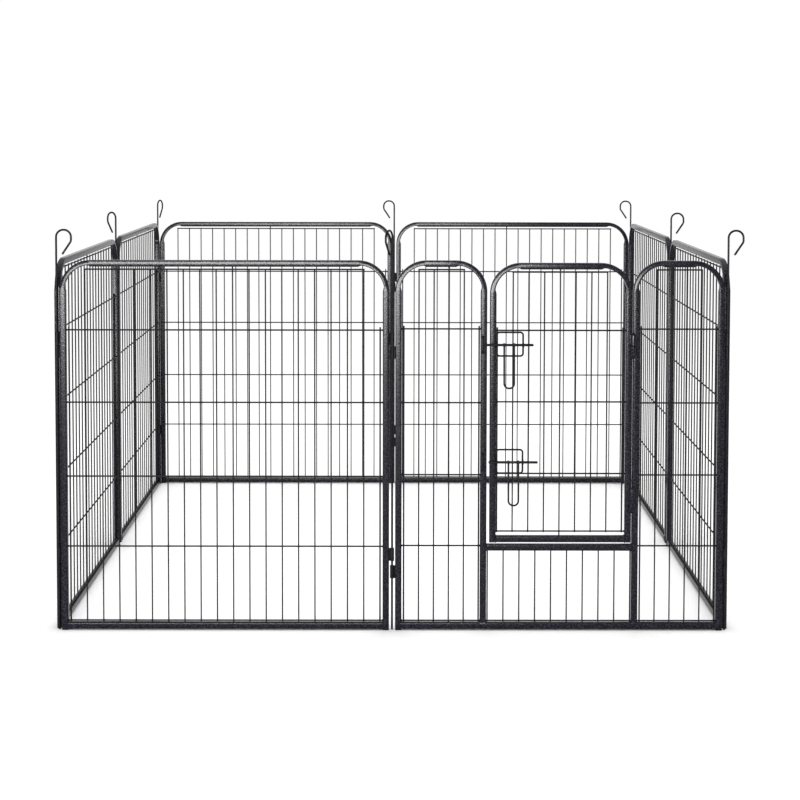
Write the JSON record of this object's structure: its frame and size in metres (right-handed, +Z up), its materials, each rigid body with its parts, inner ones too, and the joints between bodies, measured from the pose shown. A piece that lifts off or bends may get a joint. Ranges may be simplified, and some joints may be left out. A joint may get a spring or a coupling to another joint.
{
  "type": "pet playpen",
  "caption": "Free-standing pet pen of hinged steel tube panels with wire mesh, drop-in hinge pins and a door with slide bolts.",
  "frame": {"origin": "on the floor at the middle of the pen", "axes": "+Z up, the gate side faces -Y, +X to the right seen from the gate side"},
  "size_m": [1.5051, 1.5077, 0.871],
  "materials": {
    "tube": "dark grey hammered powder coat",
    "wire_mesh": "black powder coat",
    "hinge_pin": "black gloss powder coat",
    "latch": "black gloss powder coat",
    "door_hinge": "black powder coat",
    "knuckle": "dark grey powder coat",
    "end_cap": "black plastic"
  },
  "bodies": {
    "gate_panel": {"gate_left_hoop": "tube", "gate_right_hoop": "tube", "gate_rails": "tube", "gate_mesh": "wire_mesh", "gate_knuckles": "knuckle", "gate_end_caps": "end_cap", "gate_hinge_halves": "door_hinge", "gate_keepers": "latch"},
    "front_left_panel": {"front_left_hoop": "tube", "front_left_rail": "tube", "front_left_mesh": "wire_mesh", "front_left_knuckles": "knuckle", "front_left_end_caps": "end_cap"},
    "right_front_panel": {"right_front_hoop": "tube", "right_front_rail": "tube", "right_front_mesh": "wire_mesh", "right_front_knuckles": "knuckle", "right_front_end_caps": "end_cap"},
    "right_rear_panel": {"right_rear_hoop": "tube", "right_rear_rail": "tube", "right_rear_mesh": "wire_mesh", "right_rear_knuckles": "knuckle", "right_rear_end_caps": "end_cap"},
    "rear_right_panel": {"rear_right_hoop": "tube", "rear_right_rail": "tube", "rear_right_mesh": "wire_mesh", "rear_right_knuckles": "knuckle", "rear_right_end_caps": "end_cap"},
    "rear_left_panel": {"rear_left_hoop": "tube", "rear_left_rail": "tube", "rear_left_mesh": "wire_mesh", "rear_left_knuckles": "knuckle", "rear_left_end_caps": "end_cap"},
    "left_rear_panel": {"left_rear_hoop": "tube", "left_rear_rail": "tube", "left_rear_mesh": "wire_mesh", "left_rear_knuckles": "knuckle", "left_rear_end_caps": "end_cap"},
    "left_front_panel": {"left_front_hoop": "tube", "left_front_rail": "tube", "left_front_mesh": "wire_mesh", "left_front_knuckles": "knuckle", "left_front_end_caps": "end_cap"},
    "door": {"door_hoop": "tube", "door_rail": "tube", "door_mesh": "wire_mesh", "door_hinge_halves": "door_hinge", "door_latch_guides": "latch"},
    "lower_latch_bolt": {"lower_bolt": "latch"},
    "upper_latch_bolt": {"upper_bolt": "latch"},
    "lower_latch_handle": {"lower_bolt_handle": "latch"},
    "upper_latch_handle": {"upper_bolt_handle": "latch"},
    "front_left_pin": {"pin_front_left": "hinge_pin"},
    "front_center_pin": {"pin_front_center": "hinge_pin"},
    "front_right_pin": {"pin_front_right": "hinge_pin"},
    "right_middle_pin": {"pin_right_middle": "hinge_pin"},
    "rear_right_pin": {"pin_rear_right": "hinge_pin"},
    "rear_center_pin": {"pin_rear_center": "hinge_pin"},
    "rear_left_pin": {"pin_rear_left": "hinge_pin"},
    "left_middle_pin": {"pin_left_middle": "hinge_pin"}
  },
  "joints": [
    {"name": "front_center_fold", "type": "hinge", "parent": "gate_panel", "child": "front_left_panel", "pos_m": [0, -0.722, 0], "axis": [0, 0, -1], "range_deg": [0, 90]},
    {"name": "front_left_corner", "type": "hinge", "parent": "front_left_panel", "child": "left_front_panel", "pos_m": [-0.722, -0.722, 0], "axis": [0, 0, 1], "range_deg": [0, 90]},
    {"name": "left_middle_fold", "type": "hinge", "parent": "left_front_panel", "child": "left_rear_panel", "pos_m": [-0.722, 0, 0], "axis": [0, 0, -1], "range_deg": [0, 90]},
    {"name": "rear_left_corner", "type": "hinge", "parent": "left_rear_panel", "child": "rear_left_panel", "pos_m": [-0.722, 0.722, 0], "axis": [0, 0, 1], "range_deg": [0, 90]},
    {"name": "front_right_corner", "type": "hinge", "parent": "gate_panel", "child": "right_front_panel", "pos_m": [0.722, -0.722, 0], "axis": [0, 0, -1], "range_deg": [0, 90]},
    {"name": "right_middle_fold", "type": "hinge", "parent": "right_front_panel", "child": "right_rear_panel", "pos_m": [0.722, 0, 0], "axis": [0, 0, 1], "range_deg": [0, 90]},
    {"name": "rear_right_corner", "type": "hinge", "parent": "right_rear_panel", "child": "rear_right_panel", "pos_m": [0.722, 0.722, 0], "axis": [0, 0, -1], "range_deg": [0, 90]},
    {"name": "door_swing", "type": "hinge", "parent": "gate_panel", "child": "door", "pos_m": [0.51725, -0.735, 0.5], "axis": [0, 0, 1], "range_deg": [0, 180]},
    {"name": "lower_bolt_slide", "type": "slide", "parent": "door", "child": "lower_latch_bolt", "axis": [1, 0, 0], "range_m": [-0.0207, 0.0044]},
    {"name": "lower_handle_swing", "type": "hinge", "parent": "lower_latch_bolt", "child": "lower_latch_handle", "pos_m": [0.2505, -0.734, 0.369], "axis": [-1, 0, 0], "range_deg": [0, 170]},
    {"name": "upper_bolt_slide", "type": "slide", "parent": "door", "child": "upper_latch_bolt", "axis": [1, 0, 0], "range_m": [-0.0105, 0.0145]},
    {"name": "upper_handle_swing", "type": "hinge", "parent": "upper_latch_bolt", "child": "upper_latch_handle", "pos_m": [0.2403, -0.734, 0.623], "axis": [-1, 0, 0], "range_deg": [0, 170]},
    {"name": "front_left_pin_lift", "type": "slide", "parent": "front_left_panel", "child": "front_left_pin", "axis": [0, 0, 1], "range_m": [0, 0.66]},
    {"name": "front_center_pin_lift", "type": "slide", "parent": "gate_panel", "child": "front_center_pin", "axis": [0, 0, 1], "range_m": [0, 0.66]},
    {"name": "front_right_pin_lift", "type": "slide", "parent": "gate_panel", "child": "front_right_pin", "axis": [0, 0, 1], "range_m": [0, 0.66]},
    {"name": "right_middle_pin_lift", "type": "slide", "parent": "right_front_panel", "child": "right_middle_pin", "axis": [0, 0, 1], "range_m": [0, 0.66]},
    {"name": "rear_right_pin_lift", "type": "slide", "parent": "right_rear_panel", "child": "rear_right_pin", "axis": [0, 0, 1], "range_m": [0, 0.66]},
    {"name": "rear_center_pin_lift", "type": "slide", "parent": "rear_right_panel", "child": "rear_center_pin", "axis": [0, 0, 1], "range_m": [0, 0.66]},
    {"name": "rear_left_pin_lift", "type": "slide", "parent": "left_rear_panel", "child": "rear_left_pin", "axis": [0, 0, 1], "range_m": [0, 0.66]},
    {"name": "left_middle_pin_lift", "type": "slide", "parent": "left_front_panel", "child": "left_middle_pin", "axis": [0, 0, 1], "range_m": [0, 0.66]}
  ],
  "couplings": [
    {"joint": "front_left_corner", "follows": "front_center_fold", "ratio": 1},
    {"joint": "left_middle_fold", "follows": "front_center_fold", "ratio": 1},
    {"joint": "rear_left_corner", "follows": "front_center_fold", "ratio": 1},
    {"joint": "front_right_corner", "follows": "front_center_fold", "ratio": 1},
    {"joint": "right_middle_fold", "follows": "front_center_fold", "ratio": 1},
    {"joint": "rear_right_corner", "follows": "front_center_fold", "ratio": 1}
  ]
}
